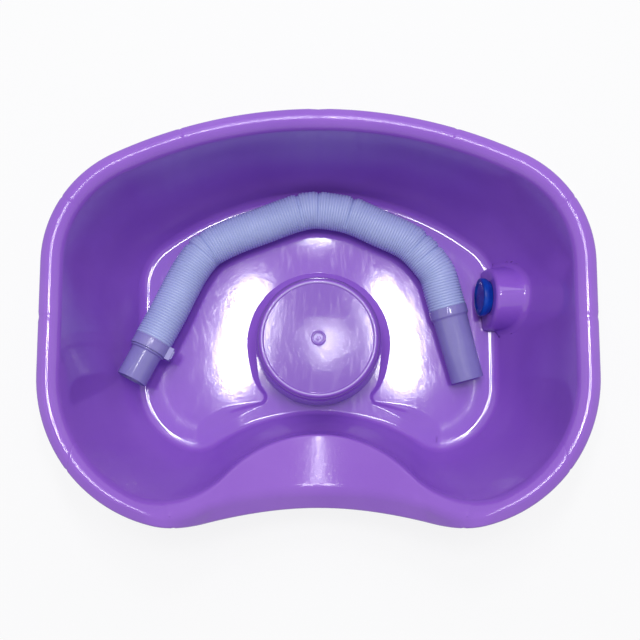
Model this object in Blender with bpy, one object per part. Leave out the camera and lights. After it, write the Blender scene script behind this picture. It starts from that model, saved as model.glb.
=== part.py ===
"""Portable shampoo basin: a moulded bowl with a neck cradle, its drain plug and its loose drain hose.

Metres, +Z up, origin at the bottom centre. The neck cradle faces -Y and the drain is in the +X wall.
"""

import math
from collections import namedtuple

import bpy
import bmesh
from mathutils import Matrix, Vector

# Bowl: overall size and wall
BASIN_WIDTH = 0.5788
BASIN_DEPTH = 0.4380
BASIN_HEIGHT = 0.1880
WALL = 0.0025

# Rim: outer edge in plan, with the neck arc closing each half
RIM_CORNER_RADIUS = 0.1276
RIM_FRONT_RADIUS = 0.1577
RIM_LOBE_RADIUS = 0.1161
RIM_BACK_TURN = math.radians(25.3)
RIM_FRONT_TURN = math.radians(76.7)
RIM_LOBE_TURN = math.radians(28.7)

# Rim: rolled flange, its section and its drop into the neck cradle
FLANGE_WIDTH = 0.0220
MOUTH_LOBE_RADIUS = 0.0810
MOUTH_FRONT_TURN = math.radians(62.0)
MOUTH_LOBE_TURN = math.radians(72.6)
RIM_INNER_DROP = 0.0040
RIM_OUTER_DROP = 0.0055
RIM_SKIRT = 0.0120
RIM_CREST_SHARE = 0.50
RIM_CREST_RADIUS = 0.0160
RIM_INNER_RADIUS = 0.0060
RIM_OUTER_RADIUS = 0.0050
NECK_DIP = 0.0670
NECK_HALF_WIDTH = 0.2000
NECK_INNER_DROP = 0.0130
NECK_OUTER_DROP = 0.0150
NECK_CREST_SHARE = 0.76

# Floor: its outline in plan, how far it lies inside the rim, and the wall's slight hollow
SIDE_RUN = 0.0739
BACK_RUN = 0.0475
FLOOR_CORNER_RADIUS = 0.0607
FLOOR_FRONT_RADIUS = 0.0816
FLOOR_LOBE_RADIUS = 0.0416
FLOOR_BACK_TURN = math.radians(38.6)
FLOOR_FRONT_TURN = math.radians(74.3)
FLOOR_LOBE_TURN = math.radians(51.8)
FLOOR_FILLET = 0.0070
WALL_BOW_SHARE = 0.045

# Floor: raised ledge round a pocket that the basin stands on
POCKET_DEPTH = 0.0050
POCKET_INSET = 0.0200
POCKET_SLOPE = 0.0040
POCKET_TIP_RADIUS = 0.0090

# Head rest pedestal
PEDESTAL_HEIGHT = 0.0600
PEDESTAL_BASE_SHARE = 0.17466
PEDESTAL_NECK_GAP = 0.0064
PEDESTAL_DRAFT = 0.0055
PEDESTAL_RING_WIDTH = 0.0105
PEDESTAL_BASE_FILLET = 0.0040
PEDESTAL_EDGE_RADIUS = 0.0055
PEDESTAL_DISH = 0.0020
GATE_RADIUS = 0.0085
GATE_HEIGHT = 0.0007

# Drain boss in the right wall
BOSS_REACH = 0.0165
BOSS_FROM_CORNER = 0.0181
BOSS_RADIUS = 0.0370
BOSS_CENTRE_HEIGHT = 0.0310
BOSS_DRAFT = math.radians(7.0)
BOSS_EDGE_RADIUS = 0.0040
BOSS_GROWTH = 0.0020
DRAIN_HEIGHT = 0.0340
SPIGOT_LENGTH = 0.0250

# Gusset ribs under the rim
RIB_THICKNESS = 0.0020
RIB_SETBACK = 0.0010

# Drain plug
PLUG_STEM_LENGTH = 0.0075
PLUG_SEAT_RADIUS = 0.0195
PLUG_HEAD_RADIUS = 0.0230
PLUG_HEAD_LENGTH = 0.0130
PLUG_LIP_RADIUS = 0.0030
PLUG_DISH_DEPTH = 0.0015
PLUG_STEM_TAPER = 0.0010

# Hose: corrugated tube
HOSE_RADIUS = 0.0225
HOSE_ROOT_RADIUS = 0.0208
HOSE_BORE_RADIUS = 0.0194
HOSE_RIBS = 150
HOSE_SIDES = 8
HOSE_BORE_STEPS = 60

# Hose: push-in connector, its clip and the plain cuff
CONNECTOR_RADIUS = 0.0182
CONNECTOR_LENGTH = 0.0390
CONNECTOR_WALL = 0.0020
CONNECTOR_SHANK_LENGTH = 0.0220
CLIP_WIDTH = 0.0135
CLIP_THICKNESS = 0.0012
LUG_LENGTH = 0.0130
LUG_WIDTH = 0.0075
LUG_HEIGHT = 0.0060
LUG_EDGE = 0.0008
CUFF_LENGTH = 0.0790
CUFF_SLEEVE = 0.0100
CUFF_SHOULDER = 0.0050
CUFF_WALL = 0.0018
CUFF_START_RADIUS = 0.0200
CUFF_END_RADIUS = 0.0190

# Hose route: chosen by hand, from the clip over the back to the cuff
CLIP_KNEE_INSET = 0.0358
CLIP_KNEE_Y = 0.0149
CLIP_KNEE_HEIGHT = 0.0402
CLIP_RUN = (-0.0201, -0.0406, 0.0061)
HOSE_BACK_INSET = 0.0260
HOSE_BACK_HEIGHT = 0.0280
CUFF_KNEE_INSET = 0.0542
CUFF_KNEE_FROM_DRAIN = 0.0225
CUFF_KNEE_HEIGHT = 0.0274
CUFF_RUN = (0.0118, -0.0440, -0.0017)

# Hose route: points between the knees, as shares of the way across, back and down
CLIP_SIDE_SHARES = [
    (0.086, 0.261, 0.426),
    (0.144, 0.422, 0.631),
    (0.209, 0.557, 0.787),
    (0.279, 0.648, 0.902),
    (0.438, 0.760, 1.000),
    (0.638, 0.864, 1.016),
    (0.842, 0.968, 1.008),
]
CUFF_SIDE_SHARES = [
    (0.259, 0.075, 0.000),
    (0.510, 0.262, 0.333),
    (0.749, 0.463, 0.667),
    (0.916, 0.749, 1.000),
]

# Fits: gap between touching pieces, overrun of cuts, and depth that joins blend into their carrier
GAP = 0.0003
OVERRUN = 0.0020
JOIN = 0.0004

# Faceting
BACK_STEPS = 6
CORNER_STEPS = 8
SIDE_STEPS = 4
FRONT_STEPS = 8
LOBE_STEPS = 5
NECK_STEPS = 6
TURNED_STEPS = 40
RING_STEPS = 41
FIT_STEPS = 32
FILLET_LIMIT_SHARE = 0.45
ROUTE_STEPS = 12
SMOOTH_ANGLE = math.radians(35.0)

# Sizes that follow from the ones above
FLOOR_HALF_WIDTH = BASIN_WIDTH / 2 - SIDE_RUN
FLOOR_BACK = BASIN_DEPTH / 2 - BACK_RUN
PEDESTAL_BASE_RADIUS = BASIN_DEPTH * PEDESTAL_BASE_SHARE
PEDESTAL_TOP_RADIUS = PEDESTAL_BASE_RADIUS - PEDESTAL_DRAFT
BOSS_FACE_X = FLOOR_HALF_WIDTH - BOSS_REACH
LEDGE_TOP = WALL + POCKET_DEPTH
LEDGE_UNDERSIDE = LEDGE_TOP - WALL
DRAIN_BORE_RADIUS = CONNECTOR_RADIUS + GAP
SPIGOT_RADIUS = DRAIN_BORE_RADIUS + WALL

Outline = namedtuple(
    "Outline",
    "half_width back back_turn corner_radius front front_radius front_turn lobe_radius lobe_turn",
)
Station = namedtuple("Station", "point outward")


def clear_scene():
    for item in list(bpy.data.objects):
        bpy.data.objects.remove(item, do_unlink=True)


def mix(low, high, share):
    return low + (high - low) * share


def plastic(name, colour, roughness):
    material = bpy.data.materials.new(name)
    material.use_nodes = True
    shader = material.node_tree.nodes["Principled BSDF"]
    shader.inputs["Base Color"].default_value = (*colour, 1.0)
    shader.inputs["Roughness"].default_value = roughness
    shader.inputs["Metallic"].default_value = 0.0
    material.diffuse_color = (*colour, 1.0)
    return material


def add_object(name, mesh, material=None):
    item = bpy.data.objects.new(name, mesh)
    bpy.context.scene.collection.objects.link(item)
    if material:
        mesh.materials.append(material)
    return item


def finish_mesh(name, shape):
    """Turns a closed bmesh into a smooth-shaded mesh whose faces point out."""
    bmesh.ops.recalc_face_normals(shape, faces=shape.faces)
    mesh = bpy.data.meshes.new(name)
    shape.to_mesh(mesh)
    shape.free()
    mesh.shade_smooth()
    mesh.set_sharp_from_angle(angle=SMOOTH_ANGLE)
    return mesh


def loft(name, rings):
    """Skins closed rings of equal counts and caps the first and the last one."""
    shape = bmesh.new()
    verts = [[shape.verts.new(point) for point in ring] for ring in rings]
    for lower, upper in zip(verts, verts[1:]):
        for index in range(len(lower)):
            following = (index + 1) % len(lower)
            shape.faces.new((lower[index], lower[following], upper[following], upper[index]))
    shape.faces.new(reversed(verts[0]))
    shape.faces.new(verts[-1])
    return finish_mesh(name, shape)


def turned(name, profile, steps):
    """Spins an outline of (radius, height) round Z; its ends lie on the axis or meet each other."""
    shape = bmesh.new()
    verts = [shape.verts.new((radius, 0.0, height)) for radius, height in profile]
    edges = [shape.edges.new(pair) for pair in zip(verts, verts[1:])]
    if profile[0][0] > 0.0:
        edges.append(shape.edges.new((verts[-1], verts[0])))
    bmesh.ops.spin(
        shape, geom=verts + edges, cent=(0, 0, 0), axis=(0, 0, 1), angle=math.tau, steps=steps,
    )
    bmesh.ops.remove_doubles(shape, verts=shape.verts, dist=GAP / TURNED_STEPS)
    return finish_mesh(name, shape)


def cut_or_join(target, tool, operation):
    """Adds an exact Boolean to the target and hides its tool."""
    modifier = target.modifiers.new(tool.name, "BOOLEAN")
    modifier.operation = operation
    modifier.solver = "EXACT"
    modifier.object = tool
    tool.hide_render = True
    tool.display_type = "WIRE"


def arc_between(centre, start, end, steps):
    """Points of the arc from one spoke of a circle to another of the same length."""
    sweep = start.angle(end)
    points = []
    for step in range(steps + 1):
        share = step / steps
        spoke = start * math.sin((1 - share) * sweep) + end * math.sin(share * sweep)
        points.append(centre + spoke / math.sin(sweep))
    return points


def fillet(before, corner, after, radius, steps):
    """Rounds a corner with an arc tangent to both sides, no longer than they allow."""
    towards_before = before - corner
    towards_after = after - corner
    half_angle = towards_before.angle(towards_after) / 2
    shorter = min(towards_before.length, towards_after.length)
    reach = min(radius / math.tan(half_angle), shorter * FILLET_LIMIT_SHARE)
    start = corner + towards_before.normalized() * reach
    end = corner + towards_after.normalized() * reach
    middle = (towards_before.normalized() + towards_after.normalized()).normalized()
    centre = corner + middle * (reach / math.cos(half_angle))
    return arc_between(centre, start - centre, end - centre, steps)


def rounded(corners, radii, steps):
    """A polyline whose inner corners are filleted where they have a radius."""
    points = [corners[0]]
    for before, corner, after, radius in zip(corners, corners[1:], corners[2:], radii):
        if radius > 0.0:
            points += fillet(before, corner, after, radius, steps)
        else:
            points.append(corner)
    points.append(corners[-1])
    return points


# Plan outlines: two mirrored halves, each a run of arcs from the back centre to the neck

def depth_of_front(front_radius, front_turn, lobe_radius):
    """How far a lobe reaches forward of its front corner's centre line."""
    return front_radius * math.sin(front_turn) + lobe_radius * (1 - math.sin(front_turn))


def rim_outline():
    front_reach = depth_of_front(RIM_FRONT_RADIUS, RIM_FRONT_TURN, RIM_LOBE_RADIUS)
    return Outline(
        BASIN_WIDTH / 2, BASIN_DEPTH / 2, RIM_BACK_TURN, RIM_CORNER_RADIUS,
        front_reach - BASIN_DEPTH / 2,
        RIM_FRONT_RADIUS, RIM_FRONT_TURN, RIM_LOBE_RADIUS, RIM_LOBE_TURN,
    )


def mouth_outline():
    """The inner edge of the rim, which runs a flange width inside the outer one but for the neck."""
    rim = rim_outline()
    return Outline(
        rim.half_width - FLANGE_WIDTH, rim.back - FLANGE_WIDTH, rim.back_turn,
        rim.corner_radius - FLANGE_WIDTH, rim.front,
        rim.front_radius - FLANGE_WIDTH, MOUTH_FRONT_TURN, MOUTH_LOBE_RADIUS, MOUTH_LOBE_TURN,
    )


def floor_outline():
    return Outline(
        FLOOR_HALF_WIDTH, FLOOR_BACK, FLOOR_BACK_TURN, FLOOR_CORNER_RADIUS, rim_outline().front,
        FLOOR_FRONT_RADIUS, FLOOR_FRONT_TURN, FLOOR_LOBE_RADIUS, FLOOR_LOBE_TURN,
    )


def station(x, y, heading):
    return Station(Vector((x, y, 0.0)), Vector((math.sin(heading), math.cos(heading), 0.0)))


def run_arc(stations, heading, radius, turn, steps):
    """Adds an arc that turns right by turn to a run of stations."""
    x, y, _ = stations[-1].point
    for step in range(1, steps + 1):
        angle = heading + turn * step / steps
        across = radius * (math.sin(angle) - math.sin(heading))
        along = radius * (math.cos(angle) - math.cos(heading))
        stations.append(station(x + across, y + along, angle))
    return heading + turn


def half_outline(outline):
    """Stations from the back centre over the right side to the front centre."""
    corner_across = outline.corner_radius * (1 - math.sin(outline.back_turn))
    back_radius = (outline.half_width - corner_across) / math.sin(outline.back_turn)
    stations = [station(0.0, outline.back, 0.0)]
    heading = run_arc(stations, 0.0, back_radius, outline.back_turn, BACK_STEPS)
    heading = run_arc(
        stations, heading, outline.corner_radius, math.pi / 2 - outline.back_turn, CORNER_STEPS,
    )
    side_start = stations[-1].point.y
    for step in range(1, SIDE_STEPS + 1):
        y = mix(side_start, outline.front, step / SIDE_STEPS)
        stations.append(station(outline.half_width, y, heading))
    heading = run_arc(stations, heading, outline.front_radius, outline.front_turn, FRONT_STEPS)
    heading = run_arc(stations, heading, outline.lobe_radius, outline.lobe_turn, LOBE_STEPS)
    inward_turn = math.pi - heading
    neck_radius = stations[-1].point.x / math.sin(inward_turn)
    run_arc(stations, heading, neck_radius, inward_turn, NECK_STEPS)
    return stations


def mirrored(item):
    flip = Vector((-1.0, 1.0, 1.0))
    return Station(item.point * flip, item.outward * flip)


def full_outline(outline):
    half = half_outline(outline)
    return half + [mirrored(item) for item in reversed(half[1:-1])]


# Basin wall: one section, lofted round the bowl through matching stations

Section = namedtuple("Section", "inside outside skirt edge crest head")


def neck_dip_share(mouth, front):
    """How far the rim has dropped into the neck cradle: 0 at the lobes and 1 at the centre."""
    if mouth.point.y > front:
        return 0.0
    across = min(abs(mouth.point.x) / NECK_HALF_WIDTH, 1.0)
    return (1 + math.cos(math.pi * across)) / 2


def at_height(point, height):
    return Vector((point.x, point.y, height))


def bowed(bottom, top, outward):
    """Two points between the foot and the head of a wall that is slightly hollow."""
    bow = outward * ((top.z - bottom.z) * WALL_BOW_SHARE)
    lower = bottom.lerp(top, 1 / 4) + bow
    upper = bottom.lerp(top, 3 / 5) + bow
    return [lower, upper]


def section_at(rim, mouth, floor, front):
    """Inner and outer skins of the wall and flange at one station."""
    dip = neck_dip_share(mouth, front)
    crest_z = BASIN_HEIGHT - NECK_DIP * dip
    mouth_z = crest_z - mix(RIM_INNER_DROP, NECK_INNER_DROP, dip)
    edge_z = crest_z - mix(RIM_OUTER_DROP, NECK_OUTER_DROP, dip)
    crest_plan = mouth.point.lerp(rim.point, mix(RIM_CREST_SHARE, NECK_CREST_SHARE, dip))
    skirt_plan = rim.point - rim.outward * WALL
    wall_plan = mouth.point + mouth.outward * WALL
    foot_plan = floor.point + floor.outward * WALL

    foot = at_height(floor.point, LEDGE_TOP)
    head = at_height(mouth.point, mouth_z)
    crest = at_height(crest_plan, crest_z)
    edge = at_height(rim.point, edge_z)
    skirt = at_height(rim.point, edge_z - RIM_SKIRT)
    inside = rounded(
        [foot - floor.outward * POCKET_INSET, foot, *bowed(foot, head, floor.outward),
         head, crest, edge, skirt],
        [FLOOR_FILLET, 0.0, 0.0, RIM_INNER_RADIUS, RIM_CREST_RADIUS, RIM_OUTER_RADIUS], 3,
    )[1:]

    inner_skirt = at_height(skirt_plan, edge_z - RIM_SKIRT)
    under_edge = at_height(skirt_plan, edge_z - WALL)
    under_crest = at_height(crest_plan, crest_z - WALL)
    under_head = at_height(wall_plan, mouth_z - WALL)
    outer_foot = at_height(foot_plan, LEDGE_UNDERSIDE)
    outside = rounded(
        [inner_skirt, under_edge, under_crest, under_head,
         *reversed(bowed(outer_foot, under_head, floor.outward)),
         outer_foot, outer_foot - floor.outward * POCKET_INSET],
        [0.0, 0.0, 0.0, 0.0, 0.0, FLOOR_FILLET + WALL], 2,
    )[:-1]
    return Section(
        inside, outside, skirt.lerp(inner_skirt, 1 / 2), edge.lerp(under_edge, 1 / 2),
        crest.lerp(under_crest, 1 / 2), head.lerp(under_head, 1 / 2),
    )


def wall_sections():
    rim = full_outline(rim_outline())
    mouth = full_outline(mouth_outline())
    floor = full_outline(floor_outline())
    front = rim_outline().front
    return [section_at(*matching, front) for matching in zip(rim, mouth, floor)]


def add_bowl(material):
    sections = [section.inside + section.outside for section in wall_sections()]
    rings = [list(ring) for ring in zip(*sections)]
    return add_object("basin_shell", loft("basin_shell", rings), material)


def wall_core():
    """Everything inside the middle of the wall, which limits what is built onto its inner side."""
    floor = full_outline(floor_outline())
    mouth = full_outline(mouth_outline())
    front = rim_outline().front
    rings = [[], [], [], []]
    for foot, head in zip(floor, mouth):
        dip = neck_dip_share(head, front)
        head_z = BASIN_HEIGHT - NECK_DIP * dip - mix(RIM_INNER_DROP, NECK_INNER_DROP, dip)
        bottom = at_height(foot.point, LEDGE_TOP) + foot.outward * (WALL / 2)
        top = at_height(head.point, head_z) + head.outward * (WALL / 2)
        for ring, point in zip(rings, [bottom, *bowed(bottom, top, foot.outward), top]):
            ring.append(point)
    rings.insert(0, [at_height(point, -OVERRUN) for point in rings[0]])
    return add_object("wall_core", loft("wall_core", rings))


# Floor pocket: a pan round the pedestal with rounded tips beside the neck

def pedestal_place():
    """Centre of the pedestal, which stands just behind the wall's foot at the neck."""
    neck = half_outline(floor_outline())[-1].point
    return neck + Vector((0.0, PEDESTAL_BASE_RADIUS + PEDESTAL_NECK_GAP, 0.0))


def pocket_tip(ledge_gap):
    """Centre of the rounded tip on the right, and the outline's station beside it."""
    half = half_outline(floor_outline())
    pedestal = pedestal_place()
    ring_radius = PEDESTAL_BASE_RADIUS + PEDESTAL_RING_WIDTH + POCKET_TIP_RADIUS
    centres = [item.point - item.outward * ledge_gap for item in half]
    for index in range(len(half) - 1, 0, -1):
        inner = (centres[index] - pedestal).length - ring_radius
        outer = (centres[index - 1] - pedestal).length - ring_radius
        if inner < 0.0 <= outer:
            share = inner / (inner - outer)
            centre = centres[index].lerp(centres[index - 1], share)
            outward = half[index].outward.lerp(half[index - 1].outward, share).normalized()
            return centre, outward, index
    raise ValueError("the pedestal ring leaves no room for the pocket's tips")


def pocket_outline(growth):
    """Closed outline of the pocket, grown sideways by growth."""
    centre, outward, first_left_out = pocket_tip(POCKET_INSET + POCKET_TIP_RADIUS)
    pedestal = pedestal_place()
    inward = (pedestal - centre).normalized()
    radius = POCKET_TIP_RADIUS + growth
    tip = arc_between(centre, outward * radius, inward * radius, 5)
    stations = half_outline(floor_outline())[1:first_left_out]
    right = [item.point - item.outward * (POCKET_INSET - growth) for item in stations]
    right += tip
    start = tip[-1] - pedestal
    half_sweep = math.pi - start.angle(Vector((0.0, -1.0, 0.0)))
    right += [
        pedestal + Matrix.Rotation(half_sweep * step / RING_STEPS, 3, "Z") @ start
        for step in range(2, RING_STEPS, 2)
    ]
    flip = Vector((-1.0, 1.0, 1.0))
    back = Vector((0.0, FLOOR_BACK - POCKET_INSET + growth, 0.0))
    left = [point * flip for point in reversed(right)]
    return [back] + right + left


def pocket_solid(name, growth, bottom, top):
    """The pocket's drafted form between two heights; its slope is measured at the ledge top."""
    slope = POCKET_SLOPE / POCKET_DEPTH
    base = LEDGE_TOP - POCKET_DEPTH if growth == 0.0 else LEDGE_UNDERSIDE - POCKET_DEPTH
    rings = []
    for height in (bottom, top):
        outline = pocket_outline(growth - POCKET_SLOPE + (height - base) * slope)
        rings.append([at_height(point, height) for point in outline])
    return add_object(name, loft(name, rings))


def add_pocket(shell):
    pan = pocket_solid("pocket_pan", WALL, 0.0, LEDGE_TOP - WALL / 2)
    cut_or_join(shell, pan, "UNION")
    hollow = pocket_solid("pocket_hollow", 0.0, WALL, LEDGE_TOP + OVERRUN)
    cut_or_join(shell, hollow, "DIFFERENCE")


# Pedestal: a hollow, slightly dished head rest

def pedestal_profile(offset, bottom):
    """Half section from the axis over the top to the foot, offset inwards by offset."""
    top = LEDGE_TOP + PEDESTAL_HEIGHT - offset
    foot = PEDESTAL_BASE_RADIUS - offset
    fillet_foot = foot + PEDESTAL_BASE_FILLET
    dish = PEDESTAL_TOP_RADIUS - PEDESTAL_EDGE_RADIUS
    corners = [
        Vector((0.0, top - PEDESTAL_DISH)),
        Vector((dish / 2, top - PEDESTAL_DISH)),
        Vector((dish - offset, top)),
        Vector((PEDESTAL_TOP_RADIUS - offset, top)),
        Vector((foot, LEDGE_TOP - JOIN - offset)),
        Vector((fillet_foot, LEDGE_TOP - JOIN - offset)),
        Vector((fillet_foot, bottom)),
    ]
    if offset > 0.0:
        corners[4:6] = [Vector((foot, LEDGE_UNDERSIDE))]
        corners[-1] = Vector((foot, bottom))
    radii = [0.0] * (len(corners) - 2)
    radii[2] = PEDESTAL_EDGE_RADIUS
    if offset == 0.0:
        radii[3] = PEDESTAL_BASE_FILLET
    points = rounded(corners, radii, 3)
    if offset == 0.0:
        gate_top = corners[0] + Vector((0.0, GATE_HEIGHT))
        points[:1] = [gate_top, gate_top + Vector((GATE_RADIUS - GATE_HEIGHT, 0.0)),
                      corners[0] + Vector((GATE_RADIUS, 0.0))]
    return [tuple(point) for point in points] + [(0.0, bottom)]


def add_pedestal(shell):
    body = turned("pedestal_body", pedestal_profile(0.0, LEDGE_TOP - WALL / 2), TURNED_STEPS)
    hollow = turned("pedestal_hollow", pedestal_profile(WALL, -OVERRUN), TURNED_STEPS)
    for mesh, operation in ((body, "UNION"), (hollow, "DIFFERENCE")):
        tool = add_object(mesh.name, mesh)
        tool.location = pedestal_place()
        cut_or_join(shell, tool, operation)


# Drain boss: an arched box in the side wall, open underneath, with a spigot round the drain

def drain_y():
    """The drain is a little in front of where the floor's back corner begins."""
    return half_outline(floor_outline())[BACK_STEPS + CORNER_STEPS].point.y - BOSS_FROM_CORNER


def boss_arch(inset, depth, bottom):
    """One arched ring of the boss at a depth behind its leaning face."""
    y = drain_y()
    radius = BOSS_RADIUS - inset
    lean = math.tan(BOSS_DRAFT)
    plan = [(-radius, bottom)]
    for step in range(TURNED_STEPS // 2 + 1):
        angle = math.pi * (1 - 2 * step / TURNED_STEPS)
        plan.append((radius * math.cos(angle), BOSS_CENTRE_HEIGHT + radius * math.sin(angle)))
    plan.append((radius, bottom))
    return [
        Vector((BOSS_FACE_X + depth + (height - LEDGE_TOP) * lean, y + across, height))
        for across, height in plan
    ]


def boss_solid(name, inset, edge, bottom):
    """The arched form from just behind the face's rounded edge out past the wall."""
    reach = BASIN_WIDTH / 2 - BOSS_FACE_X
    rings = []
    for step in range(3):
        angle = math.pi / 4 * step
        rings.append(boss_arch(
            inset + edge * (1 - math.sin(angle)), inset + edge * (1 - math.cos(angle)), bottom,
        ))
    rings.append(boss_arch(inset - BOSS_GROWTH, reach, bottom))
    return loft(name, rings)


def drain_frame():
    """Seat of the plug on the boss face, with Z along the drain into the bowl."""
    seat_x = BOSS_FACE_X + (DRAIN_HEIGHT - LEDGE_TOP) * math.tan(BOSS_DRAFT)
    turn = Matrix.Rotation(BOSS_DRAFT - math.pi / 2, 4, "Y")
    return Matrix.Translation((seat_x, drain_y(), DRAIN_HEIGHT)) @ turn


def drain_cylinder(name, radius, start, end):
    """A round tool on the drain's axis; start and end are distances behind the boss face."""
    tool = add_object(name, turned(name, [(0.0, -start), (radius, -start), (radius, -end), (0.0, -end)],
                                   FIT_STEPS))
    tool.matrix_world = drain_frame()
    return tool


def add_boss(shell):
    body = add_object(
        "boss_body", boss_solid("boss_body", 0.0, BOSS_EDGE_RADIUS, LEDGE_TOP - WALL / 2),
    )
    cut_or_join(body, wall_core(), "INTERSECT")
    cut_or_join(shell, body, "UNION")
    niche = add_object(
        "boss_niche", boss_solid("boss_niche", WALL, BOSS_EDGE_RADIUS - WALL, -OVERRUN),
    )
    cut_or_join(shell, niche, "DIFFERENCE")
    spigot = drain_cylinder("spigot", SPIGOT_RADIUS, WALL / 2, SPIGOT_LENGTH)
    cut_or_join(shell, spigot, "UNION")
    bore = drain_cylinder("drain_bore", DRAIN_BORE_RADIUS, -OVERRUN, SPIGOT_LENGTH + OVERRUN)
    cut_or_join(shell, bore, "DIFFERENCE")


# Gusset ribs between the wall and the rolled skirt

def rib_stations():
    """Ribs at the back centre, and a pair on each back arc, corner, side, front corner and lobe."""
    lengths = [BACK_STEPS, CORNER_STEPS, SIDE_STEPS, FRONT_STEPS, LOBE_STEPS]
    shares = [2 / 3, 1 / 2, 1 / 2, 1 / 2, 2 / 5]
    places = [0]
    start = 0
    for length, share in zip(lengths, shares):
        places.append(start + round(length * share))
        start += length
    return places


def rib_plate(shape, section, outward):
    """Adds one thin plate that fills the flange's hollow, let into it by half a wall."""
    corners = [
        at_height(section.skirt, section.skirt.z + RIB_SETBACK),
        at_height(section.edge, section.edge.z - WALL / 2),
        section.crest,
        section.head,
        at_height(section.head, section.skirt.z - RIM_SKIRT),
    ]
    along = Vector((outward.y, -outward.x, 0.0)) * (RIB_THICKNESS / 2)
    left = [shape.verts.new(corner - along) for corner in corners]
    right = [shape.verts.new(corner + along) for corner in corners]
    shape.faces.new(left)
    shape.faces.new(reversed(right))
    for index in range(len(corners)):
        following = (index + 1) % len(corners)
        shape.faces.new((left[following], left[index], right[index], right[following]))


def add_ribs(shell):
    sections = wall_sections()
    mouth = full_outline(mouth_outline())
    places = rib_stations()
    places += [len(sections) - place for place in places[1:]]
    shape = bmesh.new()
    for place in places:
        rib_plate(shape, sections[place], mouth[place].outward)
    cut_or_join(shell, add_object("rim_ribs", finish_mesh("rim_ribs", shape)), "UNION")


# Drain plug: a tapered stopper with a dished head, on the drain's axis

def add_plug(material):
    bore = DRAIN_BORE_RADIUS - GAP
    seat = GAP
    head_top = GAP + PLUG_HEAD_LENGTH
    dish = PLUG_HEAD_RADIUS - 2 * PLUG_LIP_RADIUS
    corners = [
        Vector((0.0, head_top - PLUG_DISH_DEPTH)),
        Vector((dish, head_top - PLUG_DISH_DEPTH)),
        Vector((dish + PLUG_DISH_DEPTH, head_top)),
        Vector((PLUG_HEAD_RADIUS, head_top)),
        Vector((PLUG_HEAD_RADIUS, head_top - 2 * PLUG_LIP_RADIUS)),
        Vector((PLUG_SEAT_RADIUS, seat)),
        Vector((bore, seat)),
        Vector((bore - PLUG_STEM_TAPER, -PLUG_STEM_LENGTH)),
        Vector((0.0, -PLUG_STEM_LENGTH)),
    ]
    radii = [0.0, 0.0, PLUG_LIP_RADIUS, PLUG_LIP_RADIUS, 0.0, 0.0, 0.0]
    profile = [tuple(point) for point in rounded(corners, radii, 4)]
    plug = add_object("drain_plug", turned("drain_plug", profile, FIT_STEPS), material)
    plug.matrix_world = drain_frame()
    return plug


# Hose: corrugated tube along its route, with a connector in one end and a cuff on the other

def catmull_rom(before, start, end, after, share):
    """A smooth curve through start and end that heads the way their neighbours lie."""
    square = share * share
    cube = square * share
    return (
        start * 2
        + (end - before) * share
        + (before * 2 - start * 5 + end * 4 - after) * square
        + (start * 3 - before - end * 3 + after) * cube
    ) / 2


def beyond(inner, end, length):
    """A point the given length beyond an end, in line with an inner point."""
    return end + (end - inner).normalized() * length


def between(start, end, shares):
    """A point at its own share of the way from start to end along each axis."""
    return Vector([mix(low, high, share) for low, high, share in zip(start, end, shares)])


def hose_knots():
    """The hose's end, knee, back, knee and end points with the points between them."""
    clip_knee = Vector((CLIP_KNEE_INSET - FLOOR_HALF_WIDTH, CLIP_KNEE_Y, CLIP_KNEE_HEIGHT))
    back = Vector((0.0, FLOOR_BACK - HOSE_BACK_INSET, HOSE_BACK_HEIGHT))
    cuff_knee = Vector((
        BOSS_FACE_X - CUFF_KNEE_INSET, drain_y() + CUFF_KNEE_FROM_DRAIN, CUFF_KNEE_HEIGHT,
    ))
    knots = [clip_knee + Vector(CLIP_RUN), clip_knee]
    knots += [between(clip_knee, back, shares) for shares in CLIP_SIDE_SHARES]
    knots.append(back)
    knots += [between(back, cuff_knee, shares) for shares in CUFF_SIDE_SHARES]
    return knots + [cuff_knee, cuff_knee + Vector(CUFF_RUN)]


def smooth_route():
    """Fine points along the hose: straight from each end to its knee, curved between."""
    first, *bent, last = hose_knots()
    before = bent[1] + (first - bent[0]).normalized() * (2 * (bent[1] - bent[0]).length)
    after = bent[-2] + (last - bent[-1]).normalized() * (2 * (bent[-1] - bent[-2]).length)
    padded = [before, *bent, after]
    points = [first]
    for index in range(1, len(padded) - 2):
        for step in range(ROUTE_STEPS):
            points.append(catmull_rom(*padded[index - 1:index + 3], step / ROUTE_STEPS))
    return points + [bent[-1], last]


def resample(points, spans):
    """Equally spaced points along a fine polyline, and the spacing."""
    travelled = [0.0]
    for start, end in zip(points, points[1:]):
        travelled.append(travelled[-1] + (end - start).length)
    spacing = travelled[-1] / spans
    result = []
    index = 0
    for step in range(spans + 1):
        target = min(spacing * step, travelled[-1])
        while index < len(points) - 2 and travelled[index + 1] < target:
            index += 1
        share = (target - travelled[index]) / (travelled[index + 1] - travelled[index])
        result.append(points[index].lerp(points[index + 1], share))
    return result, spacing


def tube(name, points, radii):
    """A round-sectioned tube along points, with filled ends, as a mesh."""
    curve = bpy.data.curves.new(name, "CURVE")
    curve.dimensions = "3D"
    curve.bevel_depth = HOSE_RADIUS
    curve.bevel_resolution = HOSE_SIDES // 2 - 2
    curve.use_fill_caps = True
    spline = curve.splines.new("POLY")
    spline.points.add(len(points) - 1)
    for place, point, radius in zip(spline.points, points, radii):
        place.co = (*point, 1.0)
        place.radius = radius / HOSE_RADIUS
    guide = add_object(name + "_guide", curve)
    bpy.context.view_layer.update()
    mesh = bpy.data.meshes.new_from_object(guide.evaluated_get(bpy.context.evaluated_depsgraph_get()))
    mesh.name = name
    bpy.data.objects.remove(guide, do_unlink=True)
    shape = bmesh.new()
    shape.from_mesh(mesh)
    bmesh.ops.remove_doubles(shape, verts=shape.verts, dist=GAP / TURNED_STEPS)
    bpy.data.meshes.remove(mesh)
    return finish_mesh(name, shape)


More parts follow.
